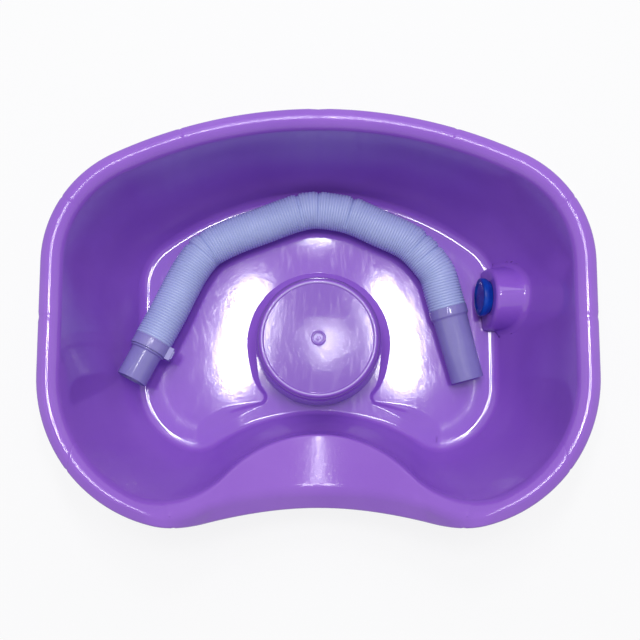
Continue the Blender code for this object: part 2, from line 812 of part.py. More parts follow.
def end_frame(tip, inner):
    """Frame at an end of the hose, with Z pointing out of it and X level."""
    out = (tip - inner).normalized()
    level = Vector((0.0, 0.0, 1.0)).cross(out).normalized()
    turn = Matrix((level, out.cross(level), out)).transposed().to_4x4()
    return Matrix.Translation(tip) @ turn


def add_hose(material):
    """The corrugated tube with its bore, and the frames at its two ends."""
    fine = smooth_route()
    length = sum((end - start).length for start, end in zip(fine, fine[1:]))
    pitch = (length - CLIP_WIDTH - CUFF_SLEEVE) / HOSE_RIBS
    ribbed, spacing = resample(fine, 2 * round(length / pitch))
    radii = []
    for index in range(len(ribbed)):
        in_clip = (index - 1) * spacing < CLIP_WIDTH + GAP
        in_cuff = (len(ribbed) - 2 - index) * spacing < CUFF_SLEEVE + GAP
        root = in_clip or in_cuff or index % 2 == 0
        radii.append(HOSE_ROOT_RADIUS if root else HOSE_RADIUS)
    hose = add_object("hose_tube", tube("hose_tube", ribbed, radii), material)

    bore_points, _ = resample(fine, HOSE_BORE_STEPS)
    bore_points[0] = beyond(bore_points[1], bore_points[0], OVERRUN)
    bore_points[-1] = beyond(bore_points[-2], bore_points[-1], OVERRUN)
    bore_mesh = tube("hose_bore", bore_points, [HOSE_BORE_RADIUS] * len(bore_points))
    cut_or_join(hose, add_object("hose_bore", bore_mesh), "DIFFERENCE")
    return hose, end_frame(ribbed[0], ribbed[1]), end_frame(ribbed[-1], ribbed[-2])


def add_connector(frame, material):
    """Push-in connector: its shank is inside the hose and its spigot fits the drain's bore."""
    shank = HOSE_BORE_RADIUS * math.cos(math.pi / HOSE_SIDES) - GAP
    bore = shank - CONNECTOR_WALL
    profile = [
        (bore, -CONNECTOR_SHANK_LENGTH), (shank, -CONNECTOR_SHANK_LENGTH), (shank, GAP),
        (HOSE_ROOT_RADIUS, GAP), (HOSE_ROOT_RADIUS, GAP + CONNECTOR_WALL),
        (CONNECTOR_RADIUS, GAP + 2 * CONNECTOR_WALL), (CONNECTOR_RADIUS, CONNECTOR_LENGTH),
        (bore, CONNECTOR_LENGTH),
    ]
    item = add_object("hose_connector", turned("hose_connector", profile, FIT_STEPS), material)
    item.matrix_world = frame
    return item


def add_clip(frame, material):
    """Snap clip: a band round the plain end of the hose with a square latch lug."""
    inner = HOSE_ROOT_RADIUS + GAP
    outer = inner + CLIP_THICKNESS
    profile = [(inner, -CLIP_WIDTH), (outer, -CLIP_WIDTH), (outer, 0.0), (inner, 0.0)]
    item = add_object("hose_clip", turned("hose_clip", profile, FIT_STEPS), material)
    item.matrix_world = frame
    shape = bmesh.new()
    bmesh.ops.create_cube(shape, size=1.0)
    bmesh.ops.scale(shape, vec=(LUG_HEIGHT, LUG_WIDTH, LUG_LENGTH), verts=shape.verts)
    bmesh.ops.bevel(
        shape, geom=shape.edges, offset=LUG_EDGE, segments=1, affect="EDGES",
    )
    lug = add_object("clip_lug", finish_mesh("clip_lug", shape))
    place = Matrix.Translation((inner + CLIP_THICKNESS / 2 + LUG_HEIGHT / 2, 0.0, -CLIP_WIDTH / 2))
    lug.matrix_world = frame @ place
    cut_or_join(item, lug, "UNION")
    return item


def add_cuff(frame, material):
    """Plain cuff: a sleeve over the hose's end that narrows to an open mouth."""
    sleeve = HOSE_ROOT_RADIUS + GAP
    shoulder = sleeve + CUFF_WALL
    neck = CUFF_START_RADIUS - CUFF_WALL
    profile = [
        (sleeve, -CUFF_SLEEVE), (shoulder, -CUFF_SLEEVE), (shoulder, GAP),
        (CUFF_START_RADIUS, CUFF_SHOULDER), (CUFF_END_RADIUS, CUFF_LENGTH),
        (CUFF_END_RADIUS - CUFF_WALL, CUFF_LENGTH), (neck, CUFF_SHOULDER), (neck, GAP),
        (sleeve, GAP),
    ]
    item = add_object("hose_cuff", turned("hose_cuff", profile, FIT_STEPS), material)
    item.matrix_world = frame
    return item


def build():
    clear_scene()
    violet = plastic("violet_polypropylene", (0.30, 0.12, 0.62), 0.22)
    blue = plastic("blue_rubber", (0.0, 0.03, 0.32), 0.30)
    lilac = plastic("milky_polyethylene", (0.34, 0.38, 0.70), 0.40)
    smoke = plastic("milky_connector_plastic", (0.24, 0.22, 0.52), 0.35)
    frost = plastic("milky_clip_plastic", (0.28, 0.28, 0.60), 0.35)
    haze = plastic("milky_cuff_plastic", (0.22, 0.18, 0.50), 0.35)

    shell = add_bowl(violet)
    add_ribs(shell)
    add_pocket(shell)
    add_pedestal(shell)
    add_boss(shell)
    add_plug(blue)

    hose, connector_end, cuff_end = add_hose(lilac)
    carrier = bpy.data.objects.new("loose_hose", None)
    bpy.context.scene.collection.objects.link(carrier)
    pieces = [
        hose,
        add_connector(connector_end, smoke),
        add_clip(connector_end, frost),
        add_cuff(cuff_end, haze),
    ]
    for piece in pieces:
        piece.parent = carrier


build()
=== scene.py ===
"""Portable shampoo basin: a glossy violet bowl with its blue drain plug and its loose corrugated drain hose.

Metres, +Z up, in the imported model's frame. The neck cradle faces -Y and the drain is in the +X wall.
"""

import math

import bmesh
import bpy
from mathutils import Matrix, Vector


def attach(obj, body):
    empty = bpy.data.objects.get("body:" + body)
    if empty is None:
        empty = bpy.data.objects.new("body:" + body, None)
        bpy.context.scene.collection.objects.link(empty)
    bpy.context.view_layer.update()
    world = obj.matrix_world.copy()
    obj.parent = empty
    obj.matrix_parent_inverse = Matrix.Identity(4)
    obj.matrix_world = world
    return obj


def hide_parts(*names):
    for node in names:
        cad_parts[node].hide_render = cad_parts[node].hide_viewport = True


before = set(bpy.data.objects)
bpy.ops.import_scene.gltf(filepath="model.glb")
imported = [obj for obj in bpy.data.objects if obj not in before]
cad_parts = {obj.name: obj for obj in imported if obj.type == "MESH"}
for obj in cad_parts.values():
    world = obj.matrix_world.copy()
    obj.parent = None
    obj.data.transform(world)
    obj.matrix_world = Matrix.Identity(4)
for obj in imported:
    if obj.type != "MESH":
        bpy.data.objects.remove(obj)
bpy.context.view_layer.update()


# ---------------------------------------------------------------- camera
# Held above the front edge of the basin and turned down onto its floor, as the photograph was
# taken. The picture is square.

camera_data = bpy.data.cameras.new("camera")
camera_data.sensor_width = 36.0
camera_data.lens = 53.27
camera = bpy.data.objects.new("camera", camera_data)
camera.location = (0.0016, -0.127, 1.150)
line_of_sight = Vector((0.0016, 0.003, 0.100)) - camera.location
camera.rotation_euler = line_of_sight.to_track_quat("-Z", "Y").to_euler()
bpy.context.scene.collection.objects.link(camera)
bpy.context.scene.camera = camera
bpy.context.scene.view_settings.view_transform = "Standard"


# ---------------------------------------------------------------- bowl and rolled rim
# One injection moulding in glossy violet polypropylene, about 2.5 mm thick. The wall leans out from
# a raised floor ledge to a rim that is rolled over and down, and drops into a cradle for the neck.

BASIN_WIDTH = 0.5788
BASIN_DEPTH = 0.4380
BASIN_HEIGHT = 0.1880
WALL = 0.0025
LEDGE_TOP = 0.0075
LEDGE_SIDE = 0.0029
NECK_DIP = 0.0670
NECK_HALF_WIDTH = 0.2000
POCKET_INSET = 0.0200
WALL_BOW = 0.045
SINK_DEPTH = 0.0007
SINK_SPREAD = 0.0013

# Arcs of half an outline, from the back centre to the neck: steps, and the share where a rib stands
ARCS = [(20, 2 / 3), (26, 1 / 2), (6, 1 / 2), (26, 1 / 2), (16, 2 / 5), (22, None)]
ARC_LENGTHS = [0.205, 0.144, 0.060, 0.211, 0.058, 0.150]


def add_object(name, mesh):
    made = bpy.data.objects.new(name, mesh)
    bpy.context.scene.collection.objects.link(made)
    return made


def mix(low, high, share):
    return low + (high - low) * share


def eased(share):
    return share * share * (3 - 2 * share)


def arc_shares(steps, rib_share, length):
    """Even stations along one arc, and close ones beside its rib, as (share, sink) pairs."""
    stations = [(step / steps, 0.0) for step in range(1, steps + 1)]
    if rib_share is None:
        return stations
    spread = SINK_SPREAD / length
    stations = [pair for pair in stations if abs(pair[0] - rib_share) > 3 * spread]
    for beside, sink in ((-2, 0.0), (-1, 0.5), (0, 1.0), (1, 0.5), (2, 0.0)):
        stations.append((rib_share + beside * spread, sink))
    return sorted(stations)


def half_outline(width, back, back_turn, corner, front, front_radius, front_turn, lobe, lobe_turn):
    """(point, outward, sink) from the back centre over the right side to the front centre."""
    half_width = width / 2
    corner_across = corner * (1 - math.sin(back_turn))
    back_radius = (half_width - corner_across) / math.sin(back_turn)
    turns = [back_turn, math.pi / 2 - back_turn, None, front_turn, lobe_turn, None]
    radii = [back_radius, corner, None, front_radius, lobe, None]
    place = Vector((0.0, back, 0.0))
    heading = 0.0
    stations = [(place, Vector((0.0, 1.0, 0.0)), 1.0)]
    for index, ((steps, rib_share), length) in enumerate(zip(ARCS, ARC_LENGTHS)):
        start = place
        straight = index == 2
        turn = turns[index]
        radius = radii[index]
        if index == 5:
            turn = math.pi - heading
            radius = start.x / math.sin(turn)
        for share, sink in arc_shares(steps, rib_share, length):
            if straight:
                angle = heading
                place = Vector((half_width, mix(start.y, front, share), 0.0))
            else:
                angle = heading + turn * share
                across = radius * (math.sin(angle) - math.sin(heading))
                along = radius * (math.cos(angle) - math.cos(heading))
                place = start + Vector((across, along, 0.0))
            stations.append((place, Vector((math.sin(angle), math.cos(angle), 0.0)), sink))
        heading = angle
    return stations


def full_outline(half):
    flip = Vector((-1.0, 1.0, 1.0))
    other = [(place * flip, outward * flip, sink) for place, outward, sink in reversed(half[1:-1])]
    return half + other


RIM_BACK = BASIN_DEPTH / 2
RIM_SINE = math.sin(math.radians(76.7))
RIM_FRONT = 0.1577 * RIM_SINE + 0.1161 * (1 - RIM_SINE) - RIM_BACK
rim_line = half_outline(
    BASIN_WIDTH, RIM_BACK, math.radians(25.3), 0.1276, RIM_FRONT,
    0.1577, math.radians(76.7), 0.1161, math.radians(25.9),
)
mouth_line = half_outline(
    BASIN_WIDTH - 0.044, RIM_BACK - 0.022, math.radians(25.3), 0.1056, RIM_FRONT,
    0.1357, math.radians(62.0), 0.0810, math.radians(74.6),
)
floor_line = half_outline(
    BASIN_WIDTH - 0.1478, RIM_BACK - 0.0475, math.radians(38.6), 0.0607, RIM_FRONT,
    0.0816, math.radians(74.3), 0.0416, math.radians(49.4),
)


def at_height(point, height):
    return Vector((point.x, point.y, height))


def fillet(before, corner, after, radius, steps):
    """An arc tangent to both sides of a corner, no longer than they allow."""
    one = (before - corner).normalized()
    other = (after - corner).normalized()
    half_angle = one.angle(other) / 2
    shorter = min((before - corner).length, (after - corner).length)
    reach = min(radius / math.tan(half_angle), shorter * 0.45)
    centre = corner + (one + other).normalized() * (reach / math.cos(half_angle))
    start = corner + one * reach - centre
    end = corner + other * reach - centre
    sweep = start.angle(end)
    points = []
    for step in range(steps + 1):
        share = step / steps
        spoke = start * math.sin((1 - share) * sweep) + end * math.sin(share * sweep)
        points.append(centre + spoke / math.sin(sweep))
    return points


def rounded(corners):
    """A polyline through (point, radius, steps), with the corners that have a radius filleted."""
    points = [corners[0][0]]
    for (before, _, _), (corner, radius, steps), (after, _, _) in zip(corners, corners[1:], corners[2:]):
        points += fillet(before, corner, after, radius, steps) if radius else [corner]
    return points + [corners[-1][0]]


def through(before, start, end, after, share):
    """A smooth curve from start to end that heads the way their neighbours lie."""
    square = share * share
    cube = square * share
    return (
        start * 2 + (end - before) * share
        + (before * 2 - start * 5 + end * 4 - after) * square
        + (start * 3 - before - end * 3 + after) * cube
    ) / 2


def flowing(knots, steps):
    """Points on one smooth curve through all the knots."""
    padded = [knots[0] * 2 - knots[1], *knots, knots[-1] * 2 - knots[-2]]
    points = []
    for index in range(1, len(padded) - 2):
        points += [through(*padded[index - 1:index + 3], step / steps) for step in range(steps)]
    return points + [knots[-1]]


def bowed(bottom, top, outward):
    bow = outward * ((top.z - bottom.z) * WALL_BOW)
    return bottom.lerp(top, 1 / 4) + bow, bottom.lerp(top, 3 / 5) + bow


def dip_share(point):
    """How far the rim has dropped into the neck cradle: 0 at the lobes and 1 at the centre."""
    if point.y > RIM_FRONT:
        return 0.0
    return (1 + math.cos(math.pi * min(abs(point.x) / NECK_HALF_WIDTH, 1.0))) / 2


def ledge_height(place):
    """The ledge stands highest below the neck cradle and falls away round the lobes."""
    near = min(max((0.150 - abs(place.x)) / 0.060, 0.0), 1.0) if place.y < -0.050 else 0.0
    return mix(LEDGE_SIDE, LEDGE_TOP, eased(near))


def wall_section(rim, mouth, floor):
    """Closed ring of points round the wall and flange at one station, and what a rib there fills."""
    dip = dip_share(mouth[0])
    sink = SINK_DEPTH * rim[2]
    crest_z = BASIN_HEIGHT - NECK_DIP * dip
    mouth_z = crest_z - mix(0.0075, 0.0130, dip)
    edge_z = crest_z - mix(0.0055, 0.0150, dip)
    skirt_z = edge_z - 0.0120
    crest_plan = mouth[0].lerp(rim[0], mix(0.50, 0.76, dip))
    skirt_plan = rim[0] - rim[1] * WALL
    outward = floor[1]

    ledge = ledge_height(floor[0])
    foot = at_height(floor[0], ledge)
    head = at_height(mouth[0], mouth_z - sink / 2)
    crest = at_height(crest_plan, crest_z - sink)
    edge = at_height(rim[0] - rim[1] * sink, edge_z - sink / 2)
    skirt = at_height(rim[0], skirt_z)
    lower, upper = bowed(foot, head, outward)
    foot_radius = mix(0.0160, 0.0070, dip) + 0.0050 * max(outward.y, 0.0)
    foot_arc = fillet(foot - outward * POCKET_INSET, foot, lower, foot_radius, 8)
    head_arc = fillet(upper, head, crest, mix(0.0200, 0.0035, dip), 7)
    inside = [
        at_height(floor[0] - outward * (POCKET_INSET + 0.0020), LEDGE_TOP),
        foot - outward * (POCKET_INSET + 0.0005),
    ]
    inside += foot_arc[:-1] + flowing([foot_arc[-1], lower, upper, head_arc[0]], 5) + head_arc[1:]
    inside += fillet(head, crest, edge, mix(0.0160, 0.0190, dip), 7) + fillet(crest, edge, skirt, 0.0050, 6)

    inner_skirt = at_height(skirt_plan, skirt_z)
    under_edge = at_height(skirt_plan, edge_z - WALL)
    under_crest = at_height(crest_plan, crest_z - WALL)
    under_head = at_height(mouth[0] + mouth[1] * WALL, mouth_z - WALL)
    outer_foot = at_height(floor[0] + outward * WALL, ledge - WALL)
    low, high = bowed(outer_foot, under_head, outward)
    outer_arc = fillet(low, outer_foot, outer_foot - outward * POCKET_INSET, 0.0095, 5)
    outside = fillet(edge, skirt, inner_skirt, 0.0009, 3)
    outside += fillet(skirt, inner_skirt, under_edge, 0.0009, 3)
    outside += [under_edge, under_crest]
    outside += flowing([under_head, high, low, outer_arc[0]], 4) + outer_arc[1:]
    outside += [
        at_height(floor[0] - outward * (POCKET_INSET - 0.0015), ledge - WALL),
        at_height(floor[0] - outward * (POCKET_INSET + 0.0020), LEDGE_TOP - WALL),
    ]
    middles = [
        at_height(skirt.lerp(inner_skirt, 1 / 2), skirt_z + 0.0010),
        edge.lerp(under_edge, 1 / 2), crest.lerp(under_crest, 1 / 2), head.lerp(under_head, 1 / 2),
    ]
    middles.append(at_height(middles[-1], skirt_z - 0.0120))
    return inside + outside, middles


def finish_mesh(name, shape, sharp=35.0):
    bmesh.ops.recalc_face_normals(shape, faces=shape.faces)
    mesh = bpy.data.meshes.new(name)
    shape.to_mesh(mesh)
    shape.free()
    mesh.shade_smooth()
    mesh.set_sharp_from_angle(angle=math.radians(sharp))
    return mesh


def loft(name, rings):
    """Skins closed rings of equal counts and caps the first and the last one."""
    shape = bmesh.new()
    skins = [[shape.verts.new(point) for point in ring] for ring in rings]
    for lower, upper in zip(skins, skins[1:]):
        for index in range(len(lower)):
            after = (index + 1) % len(lower)
            shape.faces.new((lower[index], lower[after], upper[after], upper[index]))
    shape.faces.new(reversed(skins[0]))
    shape.faces.new(skins[-1])
    return finish_mesh(name, shape)


stations = [full_outline(line) for line in (rim_line, mouth_line, floor_line)]
sections = [wall_section(*matching) for matching in zip(*stations)]
rings_along_wall = [list(ring) for ring in zip(*[ring for ring, _ in sections])]
shell = add_object("glossy_basin", loft("glossy_basin", rings_along_wall))
bare_wall = shell.data.copy()
shell_tools = []


def cut_or_join(tool, operation, tolerant=False):
    modifier = shell.modifiers.new(tool.name, "BOOLEAN")
    modifier.operation = operation
    modifier.solver = "EXACT"
    modifier.use_hole_tolerant = tolerant
    modifier.object = tool
    shell_tools.append(tool)


# ---------------------------------------------------------------- gusset ribs under the rim
# Thin plates moulded between the wall and the rolled skirt: one at the back centre and five pairs
# round the rim. The plastic sinks a little over each of them.

RIB_THICKNESS = 0.0020
rib_shape = bmesh.new()
for (rim, mouth, _), (_, middles) in zip(zip(*stations), sections):
    if rim[2] < 1.0:
        continue
    along = Vector((mouth[1].y, -mouth[1].x, 0.0)) * (RIB_THICKNESS / 2)
    near = [rib_shape.verts.new(corner - along) for corner in middles]
    far = [rib_shape.verts.new(corner + along) for corner in middles]
    rib_shape.faces.new(near)
    rib_shape.faces.new(reversed(far))
    for index in range(len(middles)):
        after = (index + 1) % len(middles)
        rib_shape.faces.new((near[after], near[index], far[index], far[after]))
cut_or_join(add_object("rim_ribs", finish_mesh("rim_ribs", rib_shape)), "UNION")


# ---------------------------------------------------------------- floor pocket
# The pan that the basin stands on, sunk below a ledge that runs along the wall and round the
# pedestal. The ledge is 5 mm high at the neck cradle and nearly level along the other walls.

TIP_RADIUS = 0.0105
OVERSHOOT = 0.00015
PEDESTAL_BASE = BASIN_DEPTH * 0.17466
PEDESTAL_RING = 0.0105
pedestal_place = floor_line[-1][0] + Vector((0.0, PEDESTAL_BASE + 0.0086, 0.0))
tip_centres = [place - outward * (POCKET_INSET + TIP_RADIUS) for place, outward, _ in floor_line]
tip_room = [(centre - pedestal_place).length - PEDESTAL_BASE - PEDESTAL_RING - TIP_RADIUS for centre in tip_centres]
tip_station = max(index for index in range(1, len(tip_room)) if tip_room[index] < 0.0 <= tip_room[index - 1])
tip_share = tip_room[tip_station] / (tip_room[tip_station] - tip_room[tip_station - 1])
tip_centre = tip_centres[tip_station].lerp(tip_centres[tip_station - 1], tip_share)
tip_outward = floor_line[tip_station][1].lerp(floor_line[tip_station - 1][1], tip_share).normalized()


def blend(one, other, share):
    return [mix(low, high, eased(min(max(share, 0.0), 1.0))) for low, high in zip(one, other)]


def pocket_outline(by_wall, by_tip, by_ring, height=None):
    """The pocket's outline, from (growth, rise) along the wall, at the tips and round the pedestal."""
    def risen(place, ledge, rise):
        lift = OVERSHOOT * max(rise - 1, 0)
        return at_height(place, mix(WALL, ledge, min(rise, 1)) + lift if height is None else height)

    right = []
    for index, (place, outward, _) in enumerate(floor_line[:tip_station]):
        growth, rise = blend(by_wall, by_tip, 1 - (tip_station - index) / 9)
        right.append(risen(place - outward * (POCKET_INSET - growth), ledge_height(place), rise))
    spoke = (tip_centre - pedestal_place).normalized()
    sweep = tip_outward.angle(-spoke)
    growth, rise = by_tip
    for step in range(19):
        turned_out = Matrix.Rotation(-sweep * step / 18, 3, "Z") @ tip_outward
        right.append(risen(tip_centre + turned_out * (TIP_RADIUS + growth), LEDGE_TOP, rise))
    half_sweep = math.pi - spoke.angle(Vector((0.0, -1.0, 0.0)))
    for step in range(2, 121, 2):
        growth, rise = blend(by_tip, by_ring, step / 30)
        reach = spoke * (PEDESTAL_BASE + PEDESTAL_RING - growth)
        right.append(risen(pedestal_place + Matrix.Rotation(half_sweep * step / 121, 3, "Z") @ reach, LEDGE_TOP, rise))
    return right + [point * Vector((-1.0, 1.0, 1.0)) for point in reversed(right[1:])]


def pocket_side(width, low_radius, high_radius, shift=0.0):
    """(growth, rise) pairs up the pocket's side, which is rounded at its foot and at its edge."""
    depth = LEDGE_TOP - WALL
    bend = [Vector(corner) for corner in ((-0.0340, 0, 0), (-width, 0, 0), (0, depth, 0), (0.0200, depth, 0))]
    side = fillet(*bend[:3], low_radius, 6) + fillet(*bend[1:], high_radius, 7)
    side = [(corner.x + shift, corner.y / depth) for corner in side]
    return side + [(side[-1][0] + 0.0025, 2)]


cut_or_join(add_object("pocket_pan", loft("pocket_pan", [
    pocket_outline((WALL - 0.0040, 0), (WALL - 0.0040, 0), (0.0085, 0), 0.0),
    pocket_outline((WALL + 0.0008, 0), (WALL + 0.0008, 0), (0.0090, 0), 0.0062),
])), "UNION")
sides = (pocket_side(0.0120, 0.0240, 0.0300), pocket_side(0.0040, 0.0030, 0.0022),
         pocket_side(PEDESTAL_RING, 0.0015, 0.0010, PEDESTAL_RING))
hollow = [pocket_outline(*pairs) for pairs in zip(*sides)]
hollow.append(pocket_outline(*[(side[-1][0] + 0.00005, 2) for side in sides], LEDGE_TOP + 0.0020))
cut_or_join(add_object("pocket_hollow", loft("pocket_hollow", hollow)), "DIFFERENCE", tolerant=True)


# ---------------------------------------------------------------- pedestal
# The hollow head rest, moulded in one with the floor and open underneath. A raised bead runs round
# its flat top, which bears the ring left by the mould's gate at the centre.

PEDESTAL_TOP = LEDGE_TOP + 0.0600


def turned(name, profile, steps, sharp=35.0):
    """Spins an outline of (radius, height) round Z; its ends lie on the axis or meet each other."""
    shape = bmesh.new()
    verts = [shape.verts.new((radius, 0.0, height)) for radius, height in profile]
    edges = [shape.edges.new(pair) for pair in zip(verts, verts[1:])]
    if profile[0][0] > 0.0:
        edges.append(shape.edges.new((verts[-1], verts[0])))
    bmesh.ops.spin(shape, geom=verts + edges, cent=(0, 0, 0), axis=(0, 0, 1), angle=math.tau, steps=steps)
    bmesh.ops.remove_doubles(shape, verts=shape.verts, dist=0.000004)
    return finish_mesh(name, shape, sharp)


def outline(*corners):
    """(radius, height) pairs from corners of (radius, height, fillet, steps)."""
    points = rounded([(Vector((radius, height, 0.0)), rounding, steps) for radius, height, rounding, steps in corners])
    return [(point.x, point.y) for point in points]


pedestal_body = outline(
    (0.0, PEDESTAL_TOP - 0.0013, 0, 0), (0.0020, PEDESTAL_TOP - 0.0013, 0.0006, 2),
    (0.0026, PEDESTAL_TOP - 0.0020, 0.0006, 2), (0.0058, PEDESTAL_TOP - 0.0020, 0.0006, 2),
    (0.0066, PEDESTAL_TOP - 0.0011, 0.0007, 3), (0.0076, PEDESTAL_TOP - 0.0011, 0.0007, 3),
    (0.0086, PEDESTAL_TOP - 0.0020, 0.0010, 3), (0.0632, PEDESTAL_TOP - 0.0019, 0.0008, 4),
    (0.0655, PEDESTAL_TOP, 0.0012, 5),
    (0.0674, PEDESTAL_TOP - 0.0005, 0.0010, 4), (0.0694, PEDESTAL_TOP - 0.0032, 0.0010, 4),
    (0.0704, PEDESTAL_TOP - 0.0032, 0.0006, 4), (0.0722, PEDESTAL_TOP - 0.0066, 0.0030, 4),
    (PEDESTAL_BASE, LEDGE_TOP - 0.0020, 0, 0), (0.0, LEDGE_TOP - 0.0020, 0, 0),
)
pedestal_hollow = outline(
    (0.0, PEDESTAL_TOP - WALL - 0.0036, 0, 0), (0.0380, PEDESTAL_TOP - WALL - 0.0036, 0, 0),
    (PEDESTAL_BASE - 0.0070 - WALL, PEDESTAL_TOP - WALL - 0.0020, 0.0050, 5), (PEDESTAL_BASE - WALL, 0.0050, 0, 0),
    (PEDESTAL_BASE - WALL, -0.0020, 0, 0), (0.0, -0.0020, 0, 0),
)
for name, profile, operation in (
    ("pedestal_body", pedestal_body, "UNION"), ("pedestal_hollow", pedestal_hollow, "DIFFERENCE"),
):
    tool = add_object(name, turned(name, profile, 112))
    tool.location = pedestal_place
    cut_or_join(tool, operation)


# ---------------------------------------------------------------- drain boss and spigot
# An arched box in the side wall, hollow behind, whose leaning face carries the drain. The spigot on
# its back takes the hose. A soft fillet runs where the box meets the wall.

BOSS_FACE_X = BASIN_WIDTH / 2 - 0.0739 - 0.0165
BOSS_RADIUS = 0.0370
BOSS_CENTRE = 0.0190
BOSS_RISE = 0.0120
BOSS_EDGE = 0.0048
BOSS_DRAFT = math.radians(7.0)
BOSS_FILLET = 0.0066
DRAIN_HEIGHT = 0.0340
DRAIN_BORE = 0.0185
drain_y = next(place.y for place, outward, _ in floor_line if outward.y < 0.0001) - 0.0181
wall_caster = add_object("bare_wall", bare_wall)
bpy.context.view_layer.update()


def arch(radius, bottom):
    """(across, height) points over the arch, from one foot to the other."""
    points = [(-radius, bottom + (BOSS_CENTRE - bottom) * step / 6) for step in range(6)]
    for step in range(41):
        angle = math.pi * (1 - step / 40)
        points.append((radius * math.cos(angle), BOSS_CENTRE + (radius + BOSS_RISE) * math.sin(angle)))
    return points + [(radius, bottom + (BOSS_CENTRE - bottom) * (5 - step) / 6) for step in range(6)]


def face_x(height):
    return BOSS_FACE_X + (height - LEDGE_TOP) * math.tan(BOSS_DRAFT)


def arch_ring(radius, depth, bottom):
    return [Vector((face_x(height) + depth, drain_y + across, height)) for across, height in arch(radius, bottom)]


def wall_ring(radius, standoff, bottom):
    """A ring of the arch that keeps its distance from the wall's inner side."""
    ring = []
    for across, height in arch(radius, bottom):
        eye = Vector((0.1000, drain_y + across, max(height, LEDGE_TOP + 0.0006)))
        _, place, _, _ = wall_caster.ray_cast(eye, Vector((1.0, 0.0, 0.0)))
        ring.append(Vector((place.x - standoff, eye.y, height)))
    return ring


boss_bottom = LEDGE_TOP - WALL / 2
boss_rings = []
for step in range(9):
    angle = math.pi / 16 * step
    bevel = BOSS_EDGE * (1 - math.sin(angle))
    boss_rings.append(arch_ring(BOSS_RADIUS - bevel, BOSS_EDGE * (1 - math.cos(angle)), boss_bottom))
for step in range(11):
    angle = math.pi / 20 * step
    growth = BOSS_FILLET * (1 - math.cos(angle)) + 0.0006
    boss_rings.append(wall_ring(BOSS_RADIUS + growth, BOSS_FILLET * (1 - math.sin(angle)) - 0.00004, boss_bottom))
boss_rings.append(wall_ring(BOSS_RADIUS + BOSS_FILLET, -WALL / 2, boss_bottom))
cut_or_join(add_object("boss_body", loft("boss_body", boss_rings)), "UNION")

niche_rings = [
    arch_ring(BOSS_RADIUS - WALL - 0.0015, WALL, -0.0020),
    arch_ring(BOSS_RADIUS - WALL - 0.0004, WALL + 0.0004, -0.0020),
    arch_ring(BOSS_RADIUS - WALL, WALL + 0.0015, -0.0020),
    arch_ring(BOSS_RADIUS - WALL + 0.0020, BASIN_WIDTH / 2 - BOSS_FACE_X, -0.0020),
]
cut_or_join(add_object("boss_niche", loft("boss_niche", niche_rings)), "DIFFERENCE")

drain_seat = Matrix.Translation((face_x(DRAIN_HEIGHT), drain_y, DRAIN_HEIGHT)) @ Matrix.Rotation(
    BOSS_DRAFT - math.pi / 2, 4, "Y",
)
for name, profile, operation in (
    ("spigot", outline((0.0, -WALL / 2, 0, 0), (DRAIN_BORE + WALL, -WALL / 2, 0, 0),
                       (DRAIN_BORE + WALL - 0.0004, -0.0250, 0.0008, 3), (0.0, -0.0250, 0, 0)), "UNION"),
    ("drain_bore", outline((0.0, 0.0020, 0, 0), (DRAIN_BORE + 0.0028, 0.0020, 0, 0),
                           (DRAIN_BORE, -0.0008, 0.0010, 3), (DRAIN_BORE, -0.0270, 0, 0),
                           (0.0, -0.0270, 0, 0)), "DIFFERENCE"),
):
    tool = add_object(name, turned(name, profile, 72))
    tool.matrix_world = drain_seat
    cut_or_join(tool, operation)


# ---------------------------------------------------------------- the moulding's finish
# All of the parts above come out of the mould as one glossy piece. Its violet plastic has faint
# cloudy flow, an orange-peel skin, slow waves and fine rubbed streaks that break up reflections.

SLIVER = 0.00010
bpy.context.view_layer.update()
whole = bpy.data.meshes.new_from_object(shell.evaluated_get(bpy.context.evaluated_depsgraph_get()))
shell.modifiers.clear()
shell.data = whole
skin_shape = bmesh.new()
skin_shape.from_mesh(whole)
bmesh.ops.remove_doubles(skin_shape, verts=skin_shape.verts, dist=SLIVER)
skin_shape.to_mesh(whole)
skin_shape.free()
for tool in shell_tools + [wall_caster]:
    bpy.data.objects.remove(tool, do_unlink=True)
shell.data.materials.clear()
shell.data.shade_smooth()
shell.data.set_sharp_from_angle(angle=math.radians(32.0))
flat_faces = shell.modifiers.new("flat_faces", "WEIGHTED_NORMAL")
flat_faces.weight = 100
flat_faces.keep_sharp = True


def add_node(tree, kind, values=None, links=None, **settings):
    made = tree.nodes.new(kind)
    for name, value in settings.items():
        setattr(made, name, value)
    for name, value in (values or {}).items():
        made.inputs[name].default_value = value
    for name, socket in (links or {}).items():
        tree.links.new(socket, made.inputs[name])
    return made


def reckon(tree, operation, *terms, **settings):
    """A sum on terms that are numbers or sockets."""
    made = add_node(tree, "ShaderNodeMath", operation=operation, **settings)
    for place, term in enumerate(terms):
        if isinstance(term, float):
            made.inputs[place].default_value = term
        else:
            tree.links.new(term, made.inputs[place])
    return made.outputs[0]


def blend_colours(tree, share, under, over):
    """A mix of two colours, each of them a socket or red, green and blue."""
    made = add_node(tree, "ShaderNodeMix", None, {"Factor": share}, data_type="RGBA")
    for place, colour in ((6, under), (7, over)):
        if isinstance(colour, tuple):
            made.inputs[place].default_value = (*colour, 1.0)
        else:
            tree.links.new(colour, made.inputs[place])
    return made.outputs[2]


def add_group(name, inputs, outputs):
    """An empty shader node group with its input and output nodes."""
    tree = bpy.data.node_groups.new(name, "ShaderNodeTree")
    for label, kind in inputs:
        tree.interface.new_socket(name=label, in_out="INPUT", socket_type=kind)
    for label, kind in outputs:
        tree.interface.new_socket(name=label, in_out="OUTPUT", socket_type=kind)
    return tree, tree.nodes.new("NodeGroupInput"), tree.nodes.new("NodeGroupOutput")


